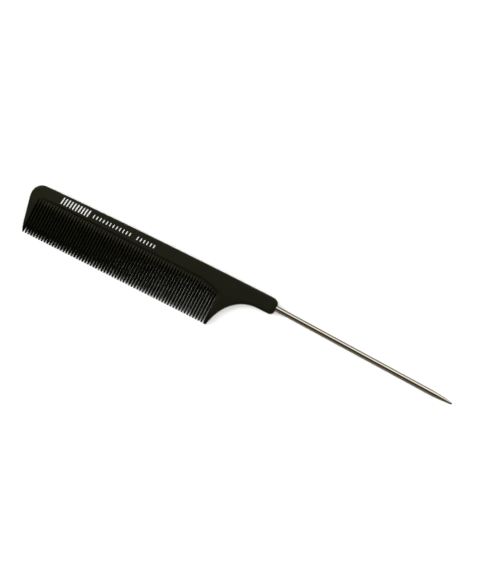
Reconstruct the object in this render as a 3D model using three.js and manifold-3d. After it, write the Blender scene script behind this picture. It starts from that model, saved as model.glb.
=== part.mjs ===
// A rat tail comb: one moulded comb (spine, fine teeth, two end guards and neck) and a steel tail pin
// held in a blind bore in the neck.
// Millimetres. While it is modelled, +X runs from the outer guard towards the pin, +Y from the
// tooth tips towards the spine, and z = 0 is the middle of the thickness. The last lines move the
// origin to the centre of the comb's underside.
import * as THREE from 'three';
import { mergeGeometries, mergeVertices } from 'three/addons/utils/BufferGeometryUtils.js';
import Module from 'manifold-3d';

// Tooth row: evenly pitched teeth between two guards, with a slot on each side of every tooth.
const toothCount = 65;
const toothPitch = 1.51;
const tipGap = 0.78; // slot width at the tips
const rootGap = 0.58; // slot width at the root
const tipFlat = 0.26; // width of the small flat left on each rounded tip
const tipRound = 0.36; // height over which a tip is rounded
const tipThickness = 0.9;
const toothBelly = 4.5; // height above the tips at which a tooth has nearly its full thickness
const bellyThickness = 4.05;
const slotLength = 16.4; // from the tips to the slot's end at mid thickness
const slotRunOut = 2; // how much further a slot runs on the two faces
const rootBendTeeth = 9; // teeth nearest the neck that grow shorter along a curve
const rootBendRadius = 40;

// Spine and outer end.
const spineDepth = 7.6; // from the slots' run-out to the highest point of the spine
const spineThickness = 4.4;
const crownRadius = 3700; // the spine's very slight crown
const crownPeak = 88; // x of the crown's highest point
const edgeRound = 0.35; // rounding of the outline's edges
const outerOverhang = 4.6; // from the first tooth line to the outer end
const outerCornerRadius = 5.6;
const shoulderDrop = 1.5; // upright edge between the outer corner and the leaning guard
const shoulderRadius = 12;
const outerGuardTip = 0.6; // width of the outer guard at its tip
const innerGuardTip = 1.5; // width of the inner guard at its tip
const guardOvershoot = 0.12; // how much longer the guards are than the teeth
const guardTipRadius = 0.75;

// Finger rest and neck.
const restLength = 18; // half width of the finger rest's quarter ellipse
const restDepth = 21; // height of the finger rest's quarter ellipse
const neckLength = 8.6; // straight underside beyond the finger rest
const neckHeight = 8.05; // from the crown's highest point to the neck's underside
const neckTopRadius = 2.7;
const neckFloorRadius = 2.5;

// Tail pin.
const pinDiameter = 2.6;
const pinLength = 92.5; // outside the neck
const pinTaper = 9.5; // length over which the pin narrows
const pinPointDiameter = 1.1;
const pinLean = THREE.MathUtils.degToRad(1.9); // towards the teeth
const shankLength = 22; // inside the neck
const shankChamfer = 0.3;
const grooveCount = 3; // keying grooves round the shank
const groovePitch = 3.2;
const grooveWidth = 1;
const grooveDepth = 0.25;
const fitGap = 0.3; // round the shank and past its end

// Modelling steps and tolerances.
const arcSteps = 4;
const roundSides = 24;
const twinDistance = 0.001;
const mergeDistance = 0.00001;
const roomShare = 0.9; // the most of a straight edge that one fillet may take
const overrun = 2; // how far a cutter passes the faces it cuts

// Places that follow from the sizes above.
const firstSlot = toothPitch / 2;
const lastSlot = firstSlot + toothCount * toothPitch;
const combWidth = slotLength + slotRunOut + spineDepth;
const half = spineThickness / 2;
const tipLine = -guardOvershoot;
const neckFloor = combWidth - neckHeight;
const restBase = neckFloor - restDepth;
const restStart = Math.PI - Math.asin((tipLine + guardTipRadius - restBase) / restDepth);
const guardX = lastSlot + tipGap / 2 + innerGuardTip;
const restX = guardX - restLength * Math.cos(restStart);
const neckEnd = restX + neckLength;
const crownCentre = new THREE.Vector2(crownPeak, combWidth - crownRadius);
const neckTop = crownCorner(neckEnd - neckTopRadius, neckTopRadius);
const pinExit = new THREE.Vector2(neckEnd, (neckTop.y + neckTopRadius + neckFloor) / 2);

const manifold = await Module();
manifold.setup();

const combPlastic = new THREE.MeshStandardMaterial({
  name: 'comb_plastic',
  color: 0x1f1f19,
  roughness: 0.42,
  metalness: 0,
});
const pinSteel = new THREE.MeshStandardMaterial({
  name: 'pin_steel',
  color: 0xc8c5bb,
  roughness: 0.22,
  metalness: 1,
});

function toSolid(geometry) {
  const bare = geometry.clone();
  bare.deleteAttribute('normal');
  bare.deleteAttribute('uv');
  const joined = mergeVertices(bare, mergeDistance);
  return new manifold.Manifold(new manifold.Mesh({
    numProp: 3,
    vertProperties: joined.attributes.position.array,
    triVerts: new Uint32Array(joined.index.array),
  }));
}

function toGeometry(solid) {
  const mesh = solid.getMesh();
  const geometry = new THREE.BufferGeometry();
  geometry.setAttribute('position', new THREE.BufferAttribute(mesh.vertProperties, 3));
  geometry.setIndex(new THREE.BufferAttribute(mesh.triVerts, 1));
  geometry.computeVertexNormals();
  return geometry;
}

// The path as a closed outline of points, without the twin points where its curves meet.
function outlineOf(path) {
  const points = path.getPoints(arcSteps).filter((point, i, all) => {
    const previous = all[(i + all.length - 1) % all.length];
    return point.distanceTo(previous) > twinDistance;
  });
  return new THREE.Shape(points);
}

// Carries a section drawn in the comb's y and z along x, from start to end.
function prismAlongX(section, start, end) {
  const prism = new THREE.ExtrudeGeometry(section, { depth: end - start, bevelEnabled: false });
  prism.rotateX(Math.PI / 2);
  prism.rotateZ(Math.PI / 2);
  return prism.translate(start, 0, 0);
}

// Draws the path to a corner and round it, tangent to the lines that meet there. The radius is
// smaller where a line leaves no room for it.
function roundCorner(path, before, corner, after, radius) {
  const incoming = before.clone().sub(corner);
  const outgoing = after.clone().sub(corner);
  const room = Math.min(incoming.length(), outgoing.length()) * roomShare;
  incoming.normalize();
  outgoing.normalize();
  const turn = Math.acos(incoming.dot(outgoing)) / 2;
  const fit = Math.min(radius, room * Math.tan(turn));
  const start = corner.clone().addScaledVector(incoming, fit / Math.tan(turn));
  const end = corner.clone().addScaledVector(outgoing, fit / Math.tan(turn));
  const middle = incoming.clone().add(outgoing).normalize();
  const centre = corner.clone().addScaledVector(middle, fit / Math.sin(turn));
  path.lineTo(start.x, start.y);
  path.absarc(
    centre.x, centre.y, fit,
    start.sub(centre).angle(), end.sub(centre).angle(),
    incoming.cross(outgoing) > 0,
  );
}

// Centre of a corner arc that touches the inside of the crown's great circle.
function crownCorner(x, radius) {
  const reach = crownRadius - radius;
  const y = combWidth - crownRadius + Math.sqrt(reach ** 2 - (x - crownPeak) ** 2);
  return new THREE.Vector2(x, y);
}

// The comb's outline with the tooth row still solid, anticlockwise from the neck's end.
function blankOutline() {
  const outerX = -outerOverhang;
  const outerTop = crownCorner(outerX + outerCornerRadius, outerCornerRadius);
  const outerEdge = new THREE.Vector2(outerX, outerTop.y);
  const shoulder = new THREE.Vector2(outerX, outerTop.y - shoulderDrop);
  const outerTip = new THREE.Vector2(firstSlot - tipGap / 2 - outerGuardTip, tipLine);
  const innerTip = new THREE.Vector2(lastSlot, tipLine);
  const neckTopAngle = neckTop.clone().sub(crownCentre).angle();
  const outerTopAngle = outerTop.clone().sub(crownCentre).angle();
  const path = new THREE.Shape();
  path.moveTo(neckEnd, pinExit.y);
  path.absarc(neckTop.x, neckTop.y, neckTopRadius, 0, neckTopAngle, false);
  path.absarc(crownCentre.x, crownCentre.y, crownRadius, neckTopAngle, outerTopAngle, false);
  path.absarc(outerTop.x, outerTop.y, outerCornerRadius, outerTopAngle, Math.PI, false);
  roundCorner(path, outerEdge, shoulder, outerTip, shoulderRadius);
  roundCorner(path, shoulder, outerTip, innerTip, guardTipRadius);
  const tipCentre = new THREE.Vector2(guardX - guardTipRadius, tipLine + guardTipRadius);
  path.absarc(tipCentre.x, tipCentre.y, guardTipRadius, -Math.PI / 2, 0, false);
  path.absellipse(restX, restBase, restLength, restDepth, restStart, Math.PI / 2, true);
  const floorCentre = new THREE.Vector2(neckEnd - neckFloorRadius, neckFloor + neckFloorRadius);
  path.absarc(floorCentre.x, floorCentre.y, neckFloorRadius, -Math.PI / 2, 0, false);
  return outlineOf(path);
}

// The plate with rounded edges that the slots are cut from.
function blankGeometry() {
  const plate = new THREE.ExtrudeGeometry(blankOutline(), {
    depth: spineThickness - 2 * edgeRound,
    bevelThickness: edgeRound,
    bevelSize: edgeRound,
    bevelOffset: -edgeRound,
    bevelSegments: 2,
  });
  return plate.translate(0, 0, edgeRound - half);
}

// A long solid with a tooth's section: full thickness from the neck's underside up, and falling
// in a smooth curve to the tips.
function sectionGeometry() {
  const face = half + twinDistance;
  const tip = tipThickness / 2;
  const belly = bellyThickness / 2;
  const low = tipLine - overrun;
  const section = new THREE.Shape();
  section.moveTo(low, -tip);
  section.lineTo(tipLine, -tip);
  section.quadraticCurveTo(toothBelly, -belly, neckFloor, -face);
  section.lineTo(neckFloor, -half - overrun);
  section.lineTo(combWidth + overrun, -half - overrun);
  section.lineTo(combWidth + overrun, half + overrun);
  section.lineTo(neckFloor, half + overrun);
  section.lineTo(neckFloor, face);
  section.quadraticCurveTo(toothBelly, belly, tipLine, tip);
  section.lineTo(low, tip);
  return prismAlongX(outlineOf(section), -outerOverhang - overrun, neckEnd + overrun);
}

// How far a slot's end has fallen where the row comes to the neck.
function rootFall(x) {
  const past = Math.max(0, x - (lastSlot - rootBendTeeth * toothPitch));
  return rootBendRadius - Math.sqrt(rootBendRadius ** 2 - past ** 2);
}

// One slot centred on x: narrow at its root and wider at the tips, which it rounds, and running
// out further on the two faces than at mid thickness.
function slotGeometry(x) {
  const end = slotLength - rootFall(x);
  const runOut = end + slotRunOut * (1 + overrun / half);
  const low = tipLine - overrun;
  const tip = tipGap / 2;
  const flare = (toothPitch - tipFlat) / 2;
  const knee = tip + (flare - tip) / 3;
  const edge = [
    new THREE.Vector2(flare, low),
    new THREE.Vector2(flare, 0),
    new THREE.Vector2(knee, tipRound / 3),
    new THREE.Vector2(tip, tipRound),
    new THREE.Vector2(rootGap / 2, end + slotRunOut),
    new THREE.Vector2(rootGap / 2, runOut + overrun),
  ];
  const farEdge = edge.map((point) => new THREE.Vector2(-point.x, point.y)).reverse();
  const plan = new THREE.Shape([...edge, ...farEdge]);
  const depth = 2 * (half + overrun);
  const wide = new THREE.ExtrudeGeometry(plan, { depth, bevelEnabled: false });
  wide.translate(0, 0, -depth / 2);
  const side = new THREE.Shape();
  side.moveTo(low - overrun, -half - overrun);
  side.lineTo(runOut, -half - overrun);
  side.lineTo(end, 0);
  side.lineTo(runOut, half + overrun);
  side.lineTo(low - overrun, half + overrun);
  const deep = prismAlongX(side, -toothPitch, toothPitch);
  return toGeometry(toSolid(wide).intersect(toSolid(deep))).translate(x, 0, 0);
}

// Everything below the tooth tips, between the two guards.
function tipTrimGeometry() {
  const height = guardOvershoot + overrun;
  const box = new THREE.BoxGeometry(lastSlot - firstSlot, height, spineThickness + overrun);
  return box.translate((firstSlot + lastSlot) / 2, -height / 2, 0);
}

// Lays an upright lathe along the pin, with its zero at the neck's end face.
function alongPin(geometry) {
  geometry.rotateZ(-Math.PI / 2 - pinLean);
  return geometry.translate(pinExit.x, pinExit.y, 0);
}

// The blind bore for the shank, open at the neck's end.
function boreGeometry() {
  const radius = pinDiameter / 2 + fitGap;
  const bottom = -shankLength - fitGap;
  const profile = [
    new THREE.Vector2(0, bottom),
    new THREE.Vector2(radius, bottom),
    new THREE.Vector2(radius, overrun),
    new THREE.Vector2(0, overrun),
  ];
  return alongPin(new THREE.LatheGeometry(profile, roundSides));
}

function combGeometry() {
  const slots = [];
  for (let i = 0; i <= toothCount; i += 1) {
    slots.push(slotGeometry(firstSlot + i * toothPitch));
  }
  let solid = toSolid(blankGeometry()).intersect(toSolid(sectionGeometry()));
  solid = solid.subtract(toSolid(mergeGeometries(slots)));
  solid = solid.subtract(toSolid(tipTrimGeometry()));
  solid = solid.subtract(toSolid(boreGeometry()));
  return toGeometry(solid);
}

// The steel rod: a chamfered and grooved shank, a plain tail, and a point with a rounded end.
function pinGeometry() {
  const radius = pinDiameter / 2;
  const point = pinPointDiameter / 2;
  const profile = [
    new THREE.Vector2(0, -shankLength),
    new THREE.Vector2(radius - shankChamfer, -shankLength),
    new THREE.Vector2(radius, -shankLength + shankChamfer),
  ];
  for (let i = 1; i <= grooveCount; i += 1) {
    const start = -shankLength + i * groovePitch;
    profile.push(
      new THREE.Vector2(radius, start),
      new THREE.Vector2(radius - grooveDepth, start + grooveDepth),
      new THREE.Vector2(radius - grooveDepth, start + grooveWidth - grooveDepth),
      new THREE.Vector2(radius, start + grooveWidth),
    );
  }
  profile.push(new THREE.Vector2(radius, pinLength - pinTaper));
  const tipSteps = 3;
  for (let i = 0; i <= tipSteps; i += 1) {
    const angle = (i / tipSteps) * (Math.PI / 2);
    const x = i === tipSteps ? 0 : point * Math.cos(angle);
    profile.push(new THREE.Vector2(x, pinLength - point * (1 - Math.sin(angle))));
  }
  return alongPin(new THREE.LatheGeometry(profile, roundSides));
}

const comb = new THREE.Mesh(combGeometry(), combPlastic);
comb.name = 'comb_moulding';
const pin = new THREE.Mesh(pinGeometry(), pinSteel);
pin.name = 'tail_pin';

const model = new THREE.Group();
model.add(comb, pin);
const box = new THREE.Box3().setFromObject(model);
const middle = box.getCenter(new THREE.Vector3());
model.position.set(-middle.x, -middle.y, -box.min.z);

export default model;
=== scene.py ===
import math

import bpy
import numpy as np
from mathutils import Euler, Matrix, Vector


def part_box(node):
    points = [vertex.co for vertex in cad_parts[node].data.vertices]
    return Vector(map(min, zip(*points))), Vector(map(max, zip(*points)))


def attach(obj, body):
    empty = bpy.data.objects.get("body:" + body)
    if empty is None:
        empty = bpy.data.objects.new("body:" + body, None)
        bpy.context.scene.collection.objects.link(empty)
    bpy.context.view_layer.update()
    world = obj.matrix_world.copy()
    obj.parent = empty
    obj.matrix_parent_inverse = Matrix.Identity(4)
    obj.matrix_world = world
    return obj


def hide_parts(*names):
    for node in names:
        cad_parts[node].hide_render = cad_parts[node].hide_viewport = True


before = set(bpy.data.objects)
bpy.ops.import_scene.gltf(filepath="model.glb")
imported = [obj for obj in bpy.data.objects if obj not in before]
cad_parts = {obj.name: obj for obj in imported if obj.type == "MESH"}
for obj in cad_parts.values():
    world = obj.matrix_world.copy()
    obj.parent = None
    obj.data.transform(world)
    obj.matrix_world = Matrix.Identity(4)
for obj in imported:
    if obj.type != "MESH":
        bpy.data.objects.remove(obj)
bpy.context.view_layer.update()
print("frame loaded:", sorted(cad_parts))

# Everything is worked out in millimetres in the comb's own drawing, where x runs along the
# teeth from the outer guard, y from the tooth tips to the crown and z from mid thickness.
mm = 0.001
overhang, overshoot = 4.6, 0.12  # how far the outline passes x 0 and y 0
combLow, combHigh = (np.array(corner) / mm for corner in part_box("comb_moulding"))
drawingZero = np.array([combLow[0] + overhang, combLow[1] + overshoot, (combLow[2] + combHigh[2]) / 2])
inkFilm = 0.018  # the printing's thickness, left free between the face and the box
faceHalf = (combHigh[2] - combLow[2]) / 2 - inkFilm


# helpers
def placePiece(name, points, quads, triangles=None, creaseDegrees=38):
    # point rows in drawing millimetres become metres about the frame's origin
    mesh = bpy.data.meshes.new(name)
    faces = quads.tolist() + ([] if triangles is None else triangles.tolist())
    mesh.from_pydata(((points + drawingZero) * mm).tolist(), [], faces)
    mesh.polygons.foreach_set("use_smooth", np.ones(len(faces), bool))
    mesh.set_sharp_from_angle(angle=math.radians(creaseDegrees))
    mesh.update()
    piece = bpy.data.objects.new(name, mesh)
    bpy.context.scene.collection.objects.link(piece)
    return piece


def addMask(piece, name, values):
    # one number a point, from 0 to 1, that a material may read by name
    layer = piece.data.attributes.new(name, "FLOAT", "POINT")
    layer.data.foreach_set("value", values.astype(np.float32))


def gridQuads(columns, rows, closed=False):
    # corners of cell (i, j) are i*rows+j and its neighbours; closed joins the last column to the first
    i = np.arange(columns if closed else columns - 1)[:, None]
    j = np.arange(rows - 1)[None, :]
    after = (i + 1) % columns
    return np.stack([i * rows + j, after * rows + j, after * rows + j + 1, i * rows + j + 1], -1)


def endFans(columns, rows):
    # triangles from a closed grid's first and last rings to the two points that follow the grid
    i = np.arange(columns)
    after = (i + 1) % columns
    first, last = np.full_like(i, columns * rows), np.full_like(i, columns * rows + 1)
    start = np.stack([after * rows, i * rows, first], -1)
    finish = np.stack([i * rows + rows - 1, after * rows + rows - 1, last], -1)
    return np.concatenate([start, finish])


def arcPoints(centre, radius, start, end, count):
    # centre + radius * (cos a, sin a), a from start to end degrees; radius may be (across, up)
    angle = np.radians(np.linspace(start, end, count))
    return np.array(centre) + np.array(radius) * np.stack([np.cos(angle), np.sin(angle)], -1)


def lineSteps(line):
    # the distance reached at each point of a polyline
    return np.concatenate([[0], np.cumsum(np.hypot(*np.diff(line, axis=0).T))])


def alongLine(line, distance):
    # the points that lie at these distances along a polyline
    reached = lineSteps(line)
    return np.stack([np.interp(distance, reached, line[:, axis]) for axis in (0, 1)], -1)


def distanceToLine(points, line):
    # least distance of each point to the polyline's segments: |p - a - t(b - a)|, t held in 0..1
    a, b = line[:-1], line[1:]
    along = b - a
    offset = points[:, None, :] - a[None]
    t = np.clip((offset * along).sum(-1) / np.maximum((along**2).sum(-1), 1e-12), 0, 1)
    return np.linalg.norm(offset - t[..., None] * along, axis=-1).min(1)


# camera
camera = {"place": (62.94, -21.74, 495.01), "turn": (6.446, 4.836, 27.077), "lens": 65.17, "sensor": 36}
camData = bpy.data.cameras.new("camera")
camData.lens, camData.sensor_width = camera["lens"], camera["sensor"]
camData.clip_start, camData.clip_end = 0.01, 20
camObject = bpy.data.objects.new("camera", camData)
camObject.location = Vector(camera["place"]) * mm
camObject.rotation_euler = Euler([math.radians(turn) for turn in camera["turn"]])
bpy.context.scene.collection.objects.link(camObject)
bpy.context.scene.camera = camObject
print("camera placed")

# comb
comb = {
    "pitch": 1.51,
    "slots": 66,
    "tipGap": 0.78,
    "rootGap": 0.58,
    "tipFlat": 0.26,
    "tipRound": 0.36,
    "tipHalf": 0.45,  # half thickness at the tips
    "noseLength": 0.45,
    "bellyAt": 4.5,
    "bellyHalf": 2.02,
    "bellyCurve": 1.35,  # 1 is a straight wedge, more is a fuller belly
    "flankRound": 2.8,  # 2 is an elliptical tooth, more is squarer
    "rootRound": 9.0,  # the same at the roots
    "squareFrom": 14.5,  # where the teeth start to turn square and where they have done so
    "squareTo": 16.6,
    "slotLength": 16.4,
    "runOut": 2.0,
    "bendTeeth": 9,
    "bendRadius": 40.0,
    "valleyFrom": -0.6,  # past the slots' ends the face falls to a fine line, then rises to the spine
    "valley": 2.1,
    "valleyTo": 2.6,
    "valleyDepth": 0.15,
    "valleyStart": 1.0,  # where along the teeth it starts, and how long it takes to start and end
    "valleyGrows": 4.0,
    "valleyEnds": 2.0,
    "width": 25.995,
    "crownRadius": 3700.0,
    "crownPeak": 88.0,
    "crownFirst": 1.4,  # the crown's own points start here, past the outer corner
    "cornerRadius": 5.6,
    "shoulderDrop": 1.5,
    "shoulderRadius": 11.3,
    "outerTip": 0.6,
    "innerTip": 1.5,
    "guardRadius": 0.75,
    "restLength": 18.0,
    "restDepth": 21.0,
    "neckLength": 8.6,
    "neckHeight": 8.05,
    "neckTopRadius": 2.7,
    "neckFloorRadius": 2.5,
    "rimRadius": 0.35,
    "rimMost": 0.85,  # of the half thickness, where that is too thin for the whole radius
    "rimDraft": 0.03,
    "rimSnap": 0.004,  # points nearer than this to the outline count as on it
    "leastLift": 0.01,  # least height just inside the outer guard's tip
    "wearReach": 0.35,  # how far in from the rim the rubbing fades
}
firstSlot = comb["pitch"] / 2
lastSlot = firstSlot + (comb["slots"] - 1) * comb["pitch"]
spineFrom = comb["slotLength"] + comb["valleyTo"]
neckFloor = comb["width"] - comb["neckHeight"]
restBase = neckFloor - comb["restDepth"]
restRise = (comb["guardRadius"] - overshoot - restBase) / comb["restDepth"]
restStart = math.degrees(math.pi - math.asin(restRise))
guardX = lastSlot + comb["tipGap"] / 2 + comb["innerTip"]
restX = guardX - comb["restLength"] * math.cos(math.radians(restStart))
neckEnd = restX + comb["neckLength"]
crownCentre = np.array([comb["crownPeak"], comb["width"] - comb["crownRadius"]])


def cornerUnderCrown(x, radius):
    # centre of a corner round that touches the crown circle from inside
    rise = math.sqrt((comb["crownRadius"] - radius) ** 2 - (x - crownCentre[0]) ** 2)
    return np.array([x, crownCentre[1] + rise])


neckTop = cornerUnderCrown(neckEnd - comb["neckTopRadius"], comb["neckTopRadius"])
outerTop = cornerUnderCrown(-overhang + comb["cornerRadius"], comb["cornerRadius"])
pinExitY = (neckTop[1] + neckFloor + comb["neckFloorRadius"]) / 2


def upperEdge(x):
    # the outer corner's round, then the crown's long circle
    rise = np.sqrt(np.maximum(comb["cornerRadius"] ** 2 - (x - outerTop[0]) ** 2, 0))
    crown = crownCentre[1] + np.sqrt(comb["crownRadius"] ** 2 - (x - crownCentre[0]) ** 2)
    return np.where(x < outerTop[0], outerTop[1] + rise, crown)


def filletBetween(before, corner, after, radius, count):
    # circle of this radius that touches both sides of a corner, from the first side to the second
    before, corner, after = (np.array(p, float) for p in (before, corner, after))
    a = (before - corner) / np.linalg.norm(before - corner)
    b = (after - corner) / np.linalg.norm(after - corner)
    turn = math.acos(float(a @ b)) / 2
    centre = corner + (a + b) / np.linalg.norm(a + b) * radius / math.sin(turn)
    touch = np.array([corner + side * radius / math.tan(turn) - centre for side in (a, b)])
    start, end = np.degrees(np.arctan2(touch[:, 1], touch[:, 0]))
    end += 360 * round((start - end) / 360)
    return arcPoints(centre, radius, start, end, count)


# outer edge, from under the outer guard's tip up to the middle of the outer corner
outerTipPoint = np.array([firstSlot - comb["tipGap"] / 2 - comb["outerTip"], -overshoot])
shoulderPoint = np.array([-overhang, outerTop[1] - comb["shoulderDrop"]])
outerTopPoint = (-overhang, outerTop[1])
outerLine = np.concatenate([
    filletBetween(shoulderPoint, outerTipPoint, (lastSlot, -overshoot), comb["guardRadius"], 24)[::-1],
    filletBetween(outerTopPoint, shoulderPoint, outerTipPoint, comb["shoulderRadius"], 16)[::-1],
    arcPoints(outerTop, comb["cornerRadius"], 180, 135, 24),
])
# finger rest, from under the inner guard's tip round the hollow to the middle of the neck's lower corner
guardCentre = np.array([guardX - comb["guardRadius"], comb["guardRadius"] - overshoot])
restAxes = (comb["restLength"], comb["restDepth"])
floorRadius = comb["neckFloorRadius"]
floorCentre = (neckEnd - floorRadius, neckFloor + floorRadius)
restLine = np.concatenate([
    arcPoints(guardCentre, comb["guardRadius"], -90, 0, 24),
    arcPoints((restX, restBase), restAxes, restStart, 90, 160)[1:],
    arcPoints(floorCentre, floorRadius, -90, -45, 12),
])
neckLine = np.concatenate([
    arcPoints(floorCentre, floorRadius, -45, 0, 12),
    arcPoints(neckTop, comb["neckTopRadius"], 0, 45, 12),
])
crownEnd = neckTop[0] + comb["neckTopRadius"] * (neckTop[0] - crownCentre[0]) / comb["crownRadius"]
crownSteps = np.linspace(comb["crownFirst"], crownEnd, 160)
crownLine = np.concatenate([
    arcPoints(outerTop, comb["cornerRadius"], 135, 92, 16),
    np.stack([crownSteps, upperEdge(crownSteps)], -1),
    arcPoints(neckTop, comb["neckTopRadius"], 88, 45, 16),
])
crownSplit = 60  # the crown's points up to here close the outer guard's outline, the rest the neck's
outerOutline = np.concatenate([outerLine, crownLine[:crownSplit]])
neckOutline = np.concatenate([crownLine[crownSplit:], neckLine[::-1], restLine[::-1]])

# offsets from a rim where the wall's draft and the round over it need a line of points
rimSteps = np.array([0, 0.03, 0.045, 0.085, 0.15, 0.22, 0.31, 0.42])
# shares of half a tooth from a slot's wall to the tooth's middle, and the same as distances in a guard
flankSteps = np.array([0, 0.05, 0.16, 0.36, 0.65, 1.0])
flankOffsets = flankSteps[::-1] * (comb["pitch"] - comb["tipGap"]) / 2
# distances up from the tips, then past the slots' ends
tipSteps = np.array([0, 0.012, 0.05, 0.11, 0.20, 0.31, 0.45])
lowSteps = np.array([0.7, 1.1, 1.6, 2.2, 2.9, 3.7, 4.5, 5.4])
rampSteps = np.array([0.04, 0.16, 0.36, 0.62, 0.92, 1.26, 1.64, 2.0])
bladeRows, spineRows = 9, 5
slotRow = len(tipSteps) + len(lowSteps) + bladeRows - 1  # the row on the slots' ends


def slotEnd(x):
    # a straight line of slot ends that curves towards the tips over the last teeth
    past = np.maximum(0, x - (lastSlot - comb["bendTeeth"] * comb["pitch"]))
    return comb["slotLength"] - comb["bendRadius"] + np.sqrt(np.maximum(comb["bendRadius"] ** 2 - past**2, 0))


def rowHeights(x):
    # y of every row at x: tip round, belly, blade up to the slot's end, run-out, valley, spine, crown round
    end, top = slotEnd(x)[:, None], upperEdge(x)[:, None]
    low = np.concatenate([tipSteps, lowSteps])[None, :] + 0 * end
    blade = low[:, -1:] + (end - low[:, -1:]) * np.linspace(0, 1, bladeRows + 1)[None, 1:]
    ramp = end + rampSteps[None, :]
    valley = end + np.linspace(comb["valley"], comb["valleyTo"], 3)[None, :]
    share = (np.arange(spineRows) + 0.5) / (spineRows + 0.5)
    spine = valley[:, -1:] + (top - rimSteps[-1] - valley[:, -1:]) * share[None, :]
    return np.concatenate([low, blade, ramp, valley, spine, top - rimSteps[None, ::-1]], 1)


def halfGap(y, end):
    # half a slot's width: rounded open at the tips, then narrowing evenly to its end
    flare = (comb["pitch"] - comb["tipFlat"]) / 2
    near = np.clip((comb["tipRound"] - y) / comb["tipRound"], 0, 1)
    share = np.clip((y - comb["tipRound"]) / (end + comb["runOut"] - comb["tipRound"]), 0, 1)
    even = comb["tipGap"] / 2 + (comb["rootGap"] - comb["tipGap"]) / 2 * share
    return even + (flare - comb["tipGap"] / 2) * (1 - np.sqrt(1 - near**2))


def valleyFade(x):
    # 1 along the teeth, falling to 0 past either end of the row
    grown = np.clip((x - comb["valleyStart"]) / comb["valleyGrows"], 0, 1)
    return grown * np.clip((lastSlot + comb["valleyEnds"] - x) / comb["valleyEnds"], 0, 1)


def halfThickness(x, y):
    # tip to belly as 1 - (1 - t)^curve, then evenly to the spine, less the valley between them
    t = np.clip(y / comb["bellyAt"], 0, 1)
    belly = comb["tipHalf"] + (comb["bellyHalf"] - comb["tipHalf"]) * (1 - (1 - t) ** comb["bellyCurve"])
    past = y - slotEnd(x)
    full = comb["slotLength"] + comb["valleyFrom"]
    upper = np.clip((y - comb["bellyAt"]) / (full - comb["bellyAt"]), 0, 1)
    down = np.clip((past - comb["valleyFrom"]) / (comb["valley"] - comb["valleyFrom"]), 0, 1)
    back = np.clip((comb["valleyTo"] - past) / (comb["valleyTo"] - comb["valley"]), 0, 1)
    return belly + (faceHalf - comb["bellyHalf"]) * upper - comb["valleyDepth"] * down * back * valleyFade(x)


def flankShare(t, y):
    # the share of the full thickness at t from a slot's wall to the tooth's middle, (1 - (1 - t)^p)^(1/p)
    square = np.clip((y - comb["squareFrom"]) / (comb["squareTo"] - comb["squareFrom"]), 0, 1)
    power = comb["flankRound"] + (comb["rootRound"] - comb["flankRound"]) * square
    return (1 - (1 - np.clip(t, 0, 1)) ** power) ** (1 / power)


def rimHeight(distance, half):
    # a drafted wall, then a quarter round up to the face
    radius = np.minimum(comb["rimRadius"], comb["rimMost"] * half)
    wall = half - radius
    past = np.clip(distance - comb["rimDraft"], 0, radius)
    rounded = wall + np.sqrt(np.maximum(radius**2 - (radius - past) ** 2, 0))
    return np.where(distance < comb["rimDraft"], wall * distance / comb["rimDraft"], rounded)


def rampHeight(y, end, half):
    # the slot's floor, a quarter ellipse from mid thickness at its end up to the face
    t = np.clip((y - end) / comb["runOut"], 0, 1)
    return half * np.sqrt(1 - (1 - t) ** 2)


def noseShare(y):
    # a quarter round over the tooth's tip, 0 at the tip and 1 past the nose
    return np.sqrt(1 - (1 - np.clip(y / comb["noseLength"], 0, 1)) ** 2)


def rimWear(distance):
    # 1 on the rim, falling as exp(-distance / reach)
    return np.exp(-distance / comb["wearReach"])


def shapeTeeth():
    # per tooth, lines from one slot's wall over the tooth to the next slot's wall
    teeth = comb["slots"] - 1
    share = np.concatenate([flankSteps, flankSteps[-2::-1]])
    side = np.where(np.arange(len(share)) < len(flankSteps), 1, -1)
    number = np.repeat(np.arange(teeth), len(share))
    share, side = np.tile(share, teeth), np.tile(side, teeth)
    centre = firstSlot + (number + (side < 0)) * comb["pitch"]
    y = rowHeights(centre)
    end = slotEnd(centre)[:, None]
    gap = halfGap(y, end)
    x = centre[:, None] + side[:, None] * (gap + (comb["pitch"] / 2 - gap) * share[:, None])
    rise = upperEdge(x) - upperEdge(centre)[:, None]
    y = y + rise * np.clip((y - spineFrom) / (comb["width"] - spineFrom), 0, 1)
    half = halfThickness(x, y)
    tooth = half * noseShare(y) * flankShare(share[:, None], y)
    rim = np.clip(upperEdge(x) - y, 0, None)
    rim[:, -1] = 0
    height = np.minimum(np.maximum(tooth, rampHeight(y, end, half)), rimHeight(rim, half))
    return x, y, height, rimWear(rim)


def sideShares(width, rimSide, slotSide, middle):
    # shares of the way from the rim to the slot: fixed distances near both, even steps between
    most = 0.45  # of the width, for the steps at either side
    nearRim = np.minimum(rimSide / width, most * rimSide / rimSide[-1])
    nearSlot = 1 - np.minimum(slotSide / width, most * slotSide / slotSide[0])
    between = np.arange(1, middle + 1) / (middle + 1)
    inner = nearRim[:, -1:] + (nearSlot[:, :1] - nearRim[:, -1:]) * between
    return np.concatenate([nearRim, inner, nearSlot], 1)


def slotSidePoints(centre, side):
    # the wall line of an end slot, and its rows, pulled down to the guard's tip
    y = rowHeights(np.array([centre]))[0]
    near = np.clip(1 - y / comb["noseLength"], 0, 1)
    return np.stack([centre + side * halfGap(y, slotEnd(centre)), y - overshoot * near], -1), y


def rimRows(total, count):
    # distances from one rim to the facing one: the rim steps at both ends, even steps between
    inner = np.linspace(rimSteps[-1], total - rimSteps[-1], count - 2 * len(rimSteps) + 2)[1:-1]
    return np.concatenate([rimSteps, inner, total - rimSteps[::-1]])


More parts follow.
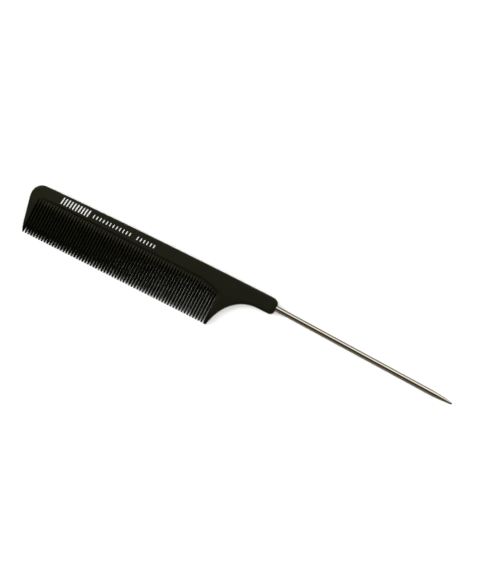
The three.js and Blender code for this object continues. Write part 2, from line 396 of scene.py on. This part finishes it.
def liftToCrown(points, y, start, power):
    # the last row rises to the upper edge, the others by ((y - start) / (last - start))^power of that
    rise = upperEdge(points[:, -1, 0]) - points[:, -1, 1]
    weight = np.clip((y - start) / (y[-1] - start), 0, 1) ** power
    points[..., 1] += rise[:, None] * weight[None, :]


def guardHeight(points, slotDistance, slotAt, outline):
    # half thickness, distance to the rim, and the higher of the tooth's flank and the slot's floor
    rim = distanceToLine(points.reshape(-1, 2), outline).reshape(points.shape[:-1])
    rim = np.where(rim < comb["rimSnap"], 0, rim)
    half = halfThickness(points[..., 0], points[..., 1])
    flank = half * flankShare(slotDistance / flankOffsets[0], points[..., 1])
    return half, rim, np.maximum(flank, rampHeight(points[..., 1], slotEnd(slotAt), half))


def outerEdgePoints(wall, y, liftFrom):
    # level with the rows, spread out above liftFrom, with the rim steps down from the corner's middle
    fixed = len(y) - len(rimSteps)
    steps = lineSteps(outerLine)
    corner = steps[-1] - rimSteps[::-1]
    upFrom = np.searchsorted(y, liftFrom)
    share = (y[upFrom:fixed] - y[upFrom]) / (y[fixed] - y[upFrom])
    level = wall[:fixed, 1].copy()
    level[upFrom:] = y[upFrom] + (alongLine(outerLine, corner[:1])[0, 1] - y[upFrom]) * share
    order = np.argsort(outerLine[:, 1], kind="stable")
    low = np.interp(level, outerLine[order, 1], steps[order])
    return alongLine(outerLine, np.concatenate([low, corner]))


def shapeOuterGuard():
    # straight across from the outer edge to the first slot, lifted to the corner's round at the top
    liftFrom, middle = 16.0, 5
    wall, y = slotSidePoints(firstSlot, -1)
    edge = outerEdgePoints(wall, y, liftFrom)
    width = (wall[:, 0] - edge[:, 0])[:, None]
    share = sideShares(width, rimSteps, flankOffsets, middle).T[..., None]
    points = edge[None] + share * (wall - edge)[None]
    liftToCrown(points, y, liftFrom, 2)
    half, rim, height = guardHeight(points, wall[None, :, 0] - points[..., 0], firstSlot, outerOutline)
    rim[0], rim[:, -1] = 0, 0
    height = np.minimum(height, rimHeight(rim, half))
    height[:, 0] = 0
    height[-1, : slotRow + 1] = 0
    height[1:-1, 1:4] = np.maximum(height[1:-1, 1:4], comb["leastLift"])
    return points[..., 0], points[..., 1], height, rimWear(rim)


def innerEdgePoints(wall):
    # level with the rows up the finger rest, then straight up from the last slot's end to the crown
    crownBack = 1.5  # how far back along the crown that straight line leans
    along = np.interp(wall[: slotRow + 1, 1], restLine[:, 1], lineSteps(restLine))
    low = alongLine(restLine, along)
    crownX = low[-1, 0] - crownBack
    up = np.array([crownX, upperEdge(crownX)]) - low[-1]
    upRows = rimRows(np.linalg.norm(up), len(wall) - slotRow)
    high = low[-1] + up * upRows[1:, None] / upRows[-1]
    return np.concatenate([low, high]), along[-1], crownX, upRows


def rimStretch(edge):
    # how much wider a leaning edge's rim steps are when they are measured level, 1 / the edge's steepness
    tangent = np.gradient(edge[: slotRow + 1], axis=0)
    steep = np.abs(tangent[:, 1]) / np.maximum(np.hypot(*tangent.T), 1e-9)
    stretch = 1 / np.clip(steep, 0.5, 1)
    return np.concatenate([stretch, np.full(len(edge) - len(stretch), stretch[-1])])


def shapeInnerGuard():
    # straight across from the last slot to the finger rest, lifted to the crown at the top
    liftFrom, middle = 20.0, 9
    wall, y = slotSidePoints(lastSlot, 1)
    edge, startAlong, crownX, upRows = innerEdgePoints(wall)
    stretch = rimStretch(edge)
    width = (edge[:, 0] - wall[:, 0]) / stretch
    shares = sideShares(width[:, None], rimSteps, flankOffsets / stretch.max(), middle)
    share = 1 - shares[:, ::-1].T
    points = wall[None] + share[..., None] * (edge - wall)[None]
    liftToCrown(points, y, liftFrom, 1)
    half, rim, height = guardHeight(points, points[..., 0] - wall[None, :, 0], lastSlot, neckOutline)
    rim[-1, : slotRow + 1], rim[:, -1] = 0, 0
    height = np.minimum(height, rimHeight(rim, half))
    height[:, 0] = 0
    height[0, : slotRow + 1] = 0
    return (points[..., 0], points[..., 1], height, rimWear(rim)), startAlong, crownX, upRows


def shapeNeck(startAlong, crownX, upRows):
    # four sides, the rest and floor below, the crown above, the guard's last line and the neck's end,
    # filled by blending opposite sides and taking the corners' share away
    columns = 30
    below = alongLine(restLine, np.linspace(startAlong, lineSteps(restLine)[-1], 400))
    above = np.concatenate([[[crownX, upperEdge(crownX)]], crownLine[crownLine[:, 0] > crownX]])
    length = lineSteps(below)[-1]
    inner = np.linspace(0, length - rimSteps[-1], columns)[1:]
    share = np.concatenate([inner, length - rimSteps[::-1][1:]]) / length
    low, high = (alongLine(line, share * lineSteps(line)[-1]) for line in (below, above))
    startShare = upRows / upRows[-1]
    start = below[0] + (above[0] - below[0]) * startShare[:, None]
    endRows = rimRows(lineSteps(neckLine)[-1], len(upRows))
    finish = alongLine(neckLine, endRows)
    s = share[:, None]
    r = ((1 - s) * startShare + s * endRows / endRows[-1])[..., None]
    points = (1 - s[..., None]) * start[None] + s[..., None] * finish[None]
    points += (1 - r) * (low - (1 - s) * start[0] - s * finish[0])[:, None]
    points += r * (high - (1 - s) * start[-1] - s * finish[-1])[:, None]
    half = halfThickness(points[..., 0], points[..., 1])
    rim = distanceToLine(points.reshape(-1, 2), neckOutline).reshape(half.shape)
    rim[:, 0], rim[:, -1], rim[-1] = 0, 0, 0
    return points[..., 0], points[..., 1], rimHeight(rim, half), rimWear(rim)


def buildComb():
    # the top face as one sheet of columns, the same mirrored below, joined wherever the height is 0
    outer, teeth = shapeOuterGuard(), shapeTeeth()
    inner, startAlong, crownX, upRows = shapeInnerGuard()
    neckPart = shapeNeck(startAlong, crownX, upRows)
    blank = np.zeros((len(neckPart[0]), slotRow))
    neck = [np.concatenate([blank, part], 1) for part in neckPart]
    x, y, height, wear = (np.concatenate(parts) for parts in zip(outer, teeth, inner, neck))
    columns, rows = x.shape
    top = np.stack([x, y, height], -1).reshape(-1, 3)
    cells = gridQuads(columns, rows)
    keep = np.ones(cells.shape[:2], bool)
    perTooth = 2 * len(flankSteps) - 1
    slotCells = len(outer[0]) - 1 + perTooth * np.arange(comb["slots"])
    keep[slotCells, :slotRow] = False
    keep[columns - len(blank) - 1 :, :slotRow] = False
    cells = cells[keep]
    flat = top[:, 2] < 1e-6
    cells = cells[~flat[cells].all(1)]
    mirror = np.where(flat, np.arange(len(top)), np.arange(len(top)) + len(top))
    quads = np.concatenate([cells, mirror[cells][:, ::-1]])
    used, quads = np.unique(quads, return_inverse=True)
    points = np.concatenate([top, top * [1, 1, -1]])[used]
    piece = placePiece("combBody", points, quads.reshape(-1, 4))
    addMask(piece, "rimWear", np.tile(wear.ravel(), 2)[used])
    return piece


combBody = buildComb()
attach(combBody, "root")
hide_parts("comb_moulding")
print("comb built:", len(combBody.data.polygons), "faces")

# steel tail
tail = {
    "radius": 1.3,
    "length": 92.5,
    "lean": 1.9,
    "shank": 22.0,
    "shankChamfer": 0.3,
    "grooves": 3,
    "groovePitch": 3.2,
    "grooveWidth": 1.0,
    "grooveDepth": 0.25,
    "taper": 9.5,
    "taperCurve": 0.35,  # 0 is a straight taper, more is a fuller one
    "pointRadius": 0.55,
    "sides": 64,
}


def tailProfile():
    # (distance along, radius) from the shank's end over its grooves, the rod and the taper to the point
    radius, chamfer, lip = tail["radius"], tail["shankChamfer"], tail["grooveDepth"]
    head = np.array([[-tail["shank"], radius - chamfer], [-tail["shank"] + chamfer, radius]])
    start = -tail["shank"] + (np.arange(tail["grooves"])[:, None] + 1) * tail["groovePitch"]
    across = start + np.array([0, lip, tail["grooveWidth"] - lip, tail["grooveWidth"]])
    grooves = np.stack([across, radius - lip * np.array([0, 1, 1, 0]) + 0 * across], -1).reshape(-1, 2)
    taperStart, taperEnd = tail["length"] - tail["taper"], tail["length"] - tail["pointRadius"]
    straight = np.linspace(-1, taperStart, 60)
    rod = np.stack([straight, np.full(len(straight), radius)], -1)
    t = np.linspace(0, 1, 24)[1:]
    fall = tail["taperCurve"] * t**2 + (1 - tail["taperCurve"]) * t
    narrowing = [taperStart + (taperEnd - taperStart) * t, radius - (radius - tail["pointRadius"]) * fall]
    nose = arcPoints((taperEnd, 0), tail["pointRadius"], 90, 6, 9)[1:]
    return np.concatenate([head, grooves, rod, np.stack(narrowing, -1), nose])


def buildTail():
    # the profile turned about the leaning axis and closed by a fan at each end
    profile = tailProfile()
    lean = math.radians(tail["lean"])
    forward = np.array([math.cos(lean), -math.sin(lean), 0])
    sideways = np.array([math.sin(lean), math.cos(lean), 0])
    turn = np.radians(np.arange(tail["sides"]) * 360 / tail["sides"])[:, None, None]
    exitPoint = np.array([neckEnd, pinExitY, 0])
    ring = profile[None, :, 1:] * (np.cos(turn) * sideways + np.sin(turn) * np.array([0, 0, 1]))
    points = exitPoint + profile[None, :, :1] * forward + ring
    ends = exitPoint + np.array([[-tail["shank"]], [tail["length"]]]) * forward
    points = np.concatenate([points.reshape(-1, 3), ends])
    quads = gridQuads(tail["sides"], len(profile), closed=True).reshape(-1, 4)
    return placePiece("tailPin", points, quads, endFans(tail["sides"], len(profile)))


tailPin = buildTail()
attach(tailPin, "root")
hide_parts("tail_pin")
print("tail built")

# printing
printing = {
    "groups": [  # start x, end x, low y, high y, bar width, gap
        (11.2, 26.7, 20.3, 23.9, 0.62, 0.98),
        (28.6, 50.2, 21.1, 22.9, 0.46, 1.34),
        (52.6, 63.6, 21.1, 22.9, 0.46, 1.34),
    ],
    "slant": 0.14,
    "corner": 5.0,  # power of the rounded bar's outline, 2 is an ellipse
    "segments": 40,
    "ringScales": (1.0, 1.0, 0.97, 0.9, 0.5),  # the bar's outline drawn in step by step
    "ringLevels": (-0.5, 0.3, 0.85, 0.95, 0.95),  # in films above the face
}


def barsOf(group):
    # equal bars at an even pitch from the group's start, as many as fit before its end
    start, end, low, high, width, gap = group
    left = np.arange(start, end - width, width + gap)
    middle = np.stack([left + width / 2, np.full_like(left, (low + high) / 2)], -1)
    return middle, np.stack([np.full_like(left, width / 2), np.full_like(left, (high - low) / 2)], -1)


def buildPrinting():
    # each bar is a flat superellipse, |x/a|^p + |y/b|^p = 1, with its film rising from the rim
    middle, reach = (np.concatenate(part) for part in zip(*map(barsOf, printing["groups"])))
    segments = printing["segments"]
    angle = np.radians(np.arange(segments) * 360 / segments)
    circle = np.stack([np.cos(angle), np.sin(angle)], -1)
    rim = np.sign(circle) * np.abs(circle) ** (2 / printing["corner"])
    scale = np.array(printing["ringScales"])
    level = faceHalf + inkFilm * np.array(printing["ringLevels"])
    offset = reach[:, None, None, :] * rim[None, :, None, :] * scale[None, None, :, None]
    offset[..., 0] += printing["slant"] * offset[..., 1]
    plan = middle[:, None, None, :] + offset
    rings = np.concatenate([plan, np.broadcast_to(level, plan.shape[:-1])[..., None]], -1)
    bars, rows = len(rings), len(scale)
    endLevels = np.broadcast_to(level[[0, -1]], (bars, 2))[..., None]
    ends = np.concatenate([np.repeat(middle[:, None], 2, 1), endLevels], -1)
    points = np.concatenate([rings.reshape(bars, -1, 3), ends], 1)
    shift = (np.arange(bars) * points.shape[1])[:, None, None]
    quads = gridQuads(segments, rows, closed=True).reshape(-1, 4) + shift
    fans = endFans(segments, rows) + shift
    return placePiece("printedBars", points.reshape(-1, 3), quads.reshape(-1, 4), fans.reshape(-1, 3))


printedBars = buildPrinting()
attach(printedBars, "root")
print("printing built")

# gate ring
gate = {
    "centre": (104.8, 22.0),
    "radius": 1.0,
    "bead": 0.05,
    "beadRise": 0.035,
    "sunk": 0.02,
    "sides": 64,
    "beadSides": 10,
}


def buildGate():
    # a half sunk bead carried round a circle
    around = np.radians(np.arange(gate["sides"]) * 360 / gate["sides"])[:, None]
    across = np.radians(np.arange(gate["beadSides"] + 1) * 360 / gate["beadSides"])[None, :]
    radius = gate["radius"] + gate["bead"] * np.cos(across)
    x = gate["centre"][0] + radius * np.cos(around)
    y = gate["centre"][1] + radius * np.sin(around)
    z = faceHalf - gate["sunk"] + gate["beadRise"] * np.sin(across) + 0 * around
    rows = gate["beadSides"]
    quads = gridQuads(gate["sides"], rows + 1, closed=True)
    quads = np.where(quads % (rows + 1) == rows, quads - rows, quads).reshape(-1, 4)
    used, quads = np.unique(quads, return_inverse=True)
    points = np.stack([x, y, z], -1).reshape(-1, 3)[used]
    return placePiece("gateRing", points, quads.reshape(-1, 4), creaseDegrees=80)


gateRing = buildGate()
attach(gateRing, "root")
print("gate ring built")


# materials
def newGroup(name, inputs, outputs):
    # an empty node group with its sockets
    group = bpy.data.node_groups.new(name, "ShaderNodeTree")
    for label, kind, value in inputs:
        socket = group.interface.new_socket(label, in_out="INPUT", socket_type=kind)
        if value is not None:
            socket.default_value = value
    for label, kind in outputs:
        group.interface.new_socket(label, in_out="OUTPUT", socket_type=kind)
    return group, group.nodes.new("NodeGroupInput"), group.nodes.new("NodeGroupOutput")


def feed(tree, node, sources):
    # each named or numbered input gets a link from a socket, or else a plain value
    for key, source in sources.items():
        if isinstance(source, bpy.types.NodeSocket):
            tree.links.new(source, node.inputs[key])
        else:
            node.inputs[key].default_value = source


def addNode(tree, kind, sources=None, **values):
    # a node with its settings made and its inputs fed
    node = tree.nodes.new(kind)
    for key, value in values.items():
        setattr(node, key, value)
    feed(tree, node, sources or {})
    return node


def newMaterial(name, **shaderValues):
    # a material with its Principled shader's plain values set
    material = bpy.data.materials.new(name)
    material.use_nodes = True
    tree = material.node_tree
    shader = tree.nodes["Principled BSDF"]
    feed(tree, shader, {label.replace("_", " "): value for label, value in shaderValues.items()})
    return material, tree, shader


def useGroup(tree, group, sources):
    # one placed copy of a shared group
    node = addNode(tree, "ShaderNodeGroup")
    node.node_tree = group
    feed(tree, node, sources)
    return node


def mixColours(tree, factor, first, second):
    # first where the factor is 0, second where it is 1
    return addNode(tree, "ShaderNodeMix", {0: factor, 6: first, 7: second}, data_type="RGBA").outputs[2]


def spread(tree, value, low, high, toLow, toHigh):
    # a value carried from one range to another and held inside it
    sources = {"Value": value, "From Min": low, "From Max": high, "To Min": toLow, "To Max": toHigh}
    return addNode(tree, "ShaderNodeMapRange", sources).outputs["Result"]


def combine(tree, operation, first, second):
    # one step of arithmetic on two values
    return addNode(tree, "ShaderNodeMath", {0: first, 1: second}, operation=operation).outputs[0]


def objectPlace(tree):
    # the piece's own coordinates
    return addNode(tree, "ShaderNodeTexCoord").outputs["Object"]


def bumpFrom(tree, shader, height, strength, distance):
    # a fine relief on the shader's normal
    sources = {"Height": height, "Strength": strength, "Distance": distance}
    tree.links.new(addNode(tree, "ShaderNodeBump", sources).outputs["Normal"], shader.inputs["Normal"])


def fineGrainGroup():
    # two sizes of noise: height for a bump and a mask for colour and gloss
    inputs = [
        ("Vector", "NodeSocketVector", None),
        ("Scale", "NodeSocketFloat", 1.0),
        ("Blotch", "NodeSocketFloat", 1.0),
    ]
    outputs = [("Height", "NodeSocketFloat"), ("Mask", "NodeSocketFloat")]
    group, given, gives = newGroup("fineGrain", inputs, outputs)
    for size, output, detail, roughness in (("Scale", "Height", 3.0, 0.6), ("Blotch", "Mask", 4.0, 0.55)):
        sources = {"Vector": given.outputs["Vector"], "Scale": given.outputs[size]}
        sources.update({"Detail": detail, "Roughness": roughness})
        noise = addNode(group, "ShaderNodeTexNoise", sources)
        group.links.new(noise.outputs["Fac"], gives.inputs[output])
    return group


def dustGroup():
    # thinly scattered specks: the cells' near centres that a slow noise lets through
    inputs = [
        ("Vector", "NodeSocketVector", None),
        ("Scale", "NodeSocketFloat", 1.0),
        ("Amount", "NodeSocketFloat", 0.1),
    ]
    group, given, gives = newGroup("thinDust", inputs, [("Mask", "NodeSocketFloat")])
    place = given.outputs["Vector"]
    cell = addNode(group, "ShaderNodeTexVoronoi", {"Vector": place, "Scale": given.outputs["Scale"]})
    slow = addNode(group, "ShaderNodeTexNoise", {"Vector": place, "Scale": 180.0, "Detail": 3.0})
    speck = spread(group, cell.outputs["Distance"], 0.0, 0.16, 1.0, 0.0)
    patch = spread(group, slow.outputs["Fac"], 0.52, 0.72, 0.0, 1.0)
    both = combine(group, "MULTIPLY", speck, patch)
    group.links.new(combine(group, "MULTIPLY", both, given.outputs["Amount"]), gives.inputs["Mask"])
    return group


fineGrain, thinDust = fineGrainGroup(), dustGroup()
cloudRange = (0.3, 0.7)  # the part of a noise's range that a look is spread over

plasticLook = {
    "shader": {"Specular_IOR_Level": 0.44, "Specular_Tint": (1, 1, 0.66, 1)},
    "grain": {"Scale": 5200.0, "Blotch": 95.0},
    "dust": {"Scale": 900.0, "Amount": 0.10},
    "tones": ((0.0040, 0.0040, 0.0018, 1), (0.0062, 0.0062, 0.0030, 1)),
    "rubbedTone": (0.003, 0.003, 0.0014, 1),
    "dustTone": (0.16, 0.155, 0.14, 1),
    "roughness": (0.38, 0.33),
    "rubbedFrom": 0.2,
    "rubbedPolish": 0.1,  # how much smoother the rim is
    "relief": (0.25, 0.00004),
}


def satinPlastic():
    # moulded black plastic: cloudy gloss, fine grain, rubbed rims, a few specks of dust
    look = plasticLook
    material, tree, shader = newMaterial("satinBlackPlastic", **look["shader"])
    place = objectPlace(tree)
    grain = useGroup(tree, fineGrain, {"Vector": place, **look["grain"]})
    dust = useGroup(tree, thinDust, {"Vector": place, **look["dust"]})
    rub = addNode(tree, "ShaderNodeAttribute", attribute_name="rimWear").outputs["Fac"]
    body = mixColours(tree, spread(tree, grain.outputs["Mask"], *cloudRange, 0.0, 1.0), *look["tones"])
    rubbed = mixColours(tree, spread(tree, rub, look["rubbedFrom"], 1.0, 0.0, 0.5), body, look["rubbedTone"])
    dusty = mixColours(tree, dust.outputs["Mask"], rubbed, look["dustTone"])
    tree.links.new(dusty, shader.inputs["Base Color"])
    gloss = spread(tree, grain.outputs["Mask"], *cloudRange, *look["roughness"])
    polish = spread(tree, rub, look["rubbedFrom"], 1.0, 0.0, look["rubbedPolish"])
    tree.links.new(combine(tree, "SUBTRACT", gloss, polish), shader.inputs["Roughness"])
    bumpFrom(tree, shader, grain.outputs["Height"], *look["relief"])
    return material


steelLook = {
    "lineStretch": (0.02, 1, 1),  # draws the noise out along the wire
    "lines": {"Scale": 9000.0, "Blotch": 3500.0},
    "patches": {"Scale": 700.0, "Blotch": 60.0},
    "tones": ((0.37, 0.335, 0.265, 1), (0.47, 0.43, 0.355, 1)),
    "roughness": (0.06, 0.11),
    "relief": (0.2, 0.00001),
}


def drawnSteel():
    # bright drawn wire: fine lines along it, faint rubbed patches
    look = steelLook
    material, tree, shader = newMaterial("drawnSteel", Metallic=1.0)
    place = objectPlace(tree)
    turn = (0, 0, math.radians(tail["lean"]))
    sources = {"Vector": place, "Rotation": turn, "Scale": look["lineStretch"]}
    turned = addNode(tree, "ShaderNodeMapping", sources)
    lines = useGroup(tree, fineGrain, {"Vector": turned.outputs["Vector"], **look["lines"]})
    patches = useGroup(tree, fineGrain, {"Vector": place, **look["patches"]})
    tone = mixColours(tree, spread(tree, lines.outputs["Height"], *cloudRange, 0, 1), *look["tones"])
    tree.links.new(tone, shader.inputs["Base Color"])
    gloss = spread(tree, patches.outputs["Mask"], *cloudRange, *look["roughness"])
    tree.links.new(gloss, shader.inputs["Roughness"])
    bumpFrom(tree, shader, lines.outputs["Mask"], *look["relief"])
    return material


inkLook = {
    "grain": {"Scale": 6000.0, "Blotch": 700.0},
    "thinRange": (0.55, 0.75),
    "thinMost": 0.6,
    "tones": ((0.50, 0.50, 0.48, 1), (0.14, 0.14, 0.13, 1)),
    "roughness": (0.5, 0.7),
    "relief": (0.3, 0.00002),
}


def wornInk():
    # matt white printing, thin in places
    look = inkLook
    material, tree, shader = newMaterial("wornWhiteInk")
    grain = useGroup(tree, fineGrain, {"Vector": objectPlace(tree), **look["grain"]})
    thin = spread(tree, grain.outputs["Mask"], *look["thinRange"], 0.0, look["thinMost"])
    tree.links.new(mixColours(tree, thin, *look["tones"]), shader.inputs["Base Color"])
    gloss = spread(tree, grain.outputs["Height"], *cloudRange, *look["roughness"])
    tree.links.new(gloss, shader.inputs["Roughness"])
    bumpFrom(tree, shader, grain.outputs["Height"], *look["relief"])
    return material


plastic, steel, ink = satinPlastic(), drawnSteel(), wornInk()
for piece, material in ((combBody, plastic), (gateRing, plastic), (tailPin, steel), (printedBars, ink)):
    piece.data.materials.append(material)
print("materials made")

# floor and light
studio = {
    "floorReach": 20.0,
    "floorTones": ((0.85, 0.85, 0.845, 1), (0.86, 0.86, 0.85, 1)),
    "floorShade": (0.14, 0.13, 0.10, 1),  # what the floor gives back to the pieces
    "floorRoughness": 0.9,
    "floorGrain": {"Scale": 900.0, "Blotch": 4.0},
    "glowRange": (0.3, 1.2),  # metres from the comb over which the far floor lights up to plain white
    "tent": 2.1,
    "tentColour": (1, 1, 0.97, 1),
    "tentDirection": (-0.32, 0.947, 0.0),
    "tentStops": (  # how far towards the lit side, from -1 to 1, and the share of the light there
        (-0.95, 0.12), (-0.84, 0.16), (-0.60, 0.02), (0.26, 0.02), (0.45, 1.0), (0.85, 1.0), (0.95, 0.05),
    ),
    "tentOnMatt": 0.35,  # share of the tent's light that matt surfaces get
    "backdrop": 1.0,
    "washes": {  # direction from the comb, distance, size, power; they light the floor and the printing
        "washLeft": ((-1.0, -0.15, 0.75), 1.6, 1.0, 21.0),
        "washRight": ((1.0, -0.15, 0.75), 1.6, 1.0, 21.0),
        "washAbove": ((0.0, 0.0, 1.0), 1.6, 1.6, 15.0),
    },
}


def paleFloorMaterial():
    # near white paper as the camera sees it, dimmer to the pieces, plain white far away
    material, tree, shader = newMaterial("paleFloor", Roughness=studio["floorRoughness"])
    place = objectPlace(tree)
    grain = useGroup(tree, fineGrain, {"Vector": place, **studio["floorGrain"]})
    tone = mixColours(tree, grain.outputs["Mask"], *studio["floorTones"])
    seen = addNode(tree, "ShaderNodeLightPath").outputs["Is Camera Ray"]
    tree.links.new(mixColours(tree, seen, studio["floorShade"], tone), shader.inputs["Base Color"])
    away = addNode(tree, "ShaderNodeVectorMath", {0: place}, operation="LENGTH").outputs["Value"]
    glow = combine(tree, "MULTIPLY", spread(tree, away, *studio["glowRange"], 0, 1), seen)
    feed(tree, shader, {"Emission Color": (1, 1, 1, 1), "Emission Strength": glow})
    return material


def layFloor():
    # one large level square that the comb lies on
    reach = studio["floorReach"]
    corners = [(-reach, -reach, 0), (reach, -reach, 0), (reach, reach, 0), (-reach, reach, 0)]
    mesh = bpy.data.meshes.new("floor")
    mesh.from_pydata(corners, [], [(0, 1, 2, 3)])
    mesh.materials.append(paleFloorMaterial())
    floor = bpy.data.objects.new("floor", mesh)
    bpy.context.scene.collection.objects.link(floor)
    return floor


def lightTent():
    # a tent lit on one side, dark overhead, dim on the other side; the camera sees a plain backdrop
    world = bpy.data.worlds.new("studio")
    world.use_nodes = True
    tree = world.node_tree
    direction = addNode(tree, "ShaderNodeTexCoord").outputs["Generated"]
    sources = {0: direction, 1: studio["tentDirection"]}
    facing = addNode(tree, "ShaderNodeVectorMath", sources, operation="DOT_PRODUCT").outputs["Value"]
    ramp = addNode(tree, "ShaderNodeValToRGB", {0: spread(tree, facing, -1, 1, 0, 1)})
    stops = ramp.color_ramp.elements
    for position, share in studio["tentStops"][2:]:
        stops.new((position + 1) / 2)
    for stop, (position, share) in zip(stops, studio["tentStops"]):
        stop.position = (position + 1) / 2
        stop.color = (share, share, share, 1)
    tent = combine(tree, "MULTIPLY", ramp.outputs["Color"], studio["tent"])
    matt = combine(tree, "MULTIPLY", tent, studio["tentOnMatt"])
    path = addNode(tree, "ShaderNodeLightPath").outputs
    onPieces = addNode(tree, "ShaderNodeMix", {0: path["Is Diffuse Ray"], 2: tent, 3: matt}).outputs[0]
    sources = {0: path["Is Camera Ray"], 2: onPieces, 3: studio["backdrop"]}
    strength = addNode(tree, "ShaderNodeMix", sources).outputs[0]
    feed(tree, tree.nodes["Background"], {"Color": studio["tentColour"], "Strength": strength})
    bpy.context.scene.world = world


def hangWashes(lit):
    # square lamps that look at the comb's place and light these objects alone
    washed = bpy.data.collections.new("washed")
    for item in lit:
        washed.objects.link(item)
    for name, (direction, distance, size, power) in studio["washes"].items():
        light = bpy.data.lights.new(name, "AREA")
        light.shape, light.size, light.energy = "SQUARE", size, power
        lamp = bpy.data.objects.new(name, light)
        lamp.location = Vector(direction).normalized() * distance
        lamp.rotation_euler = (-Vector(direction)).to_track_quat("-Z", "Y").to_euler()
        lamp.light_linking.receiver_collection = washed
        bpy.context.scene.collection.objects.link(lamp)


floor = layFloor()
lightTent()
hangWashes((floor, printedBars))
bpy.context.scene.view_settings.view_transform = "Standard"
print("studio lit")
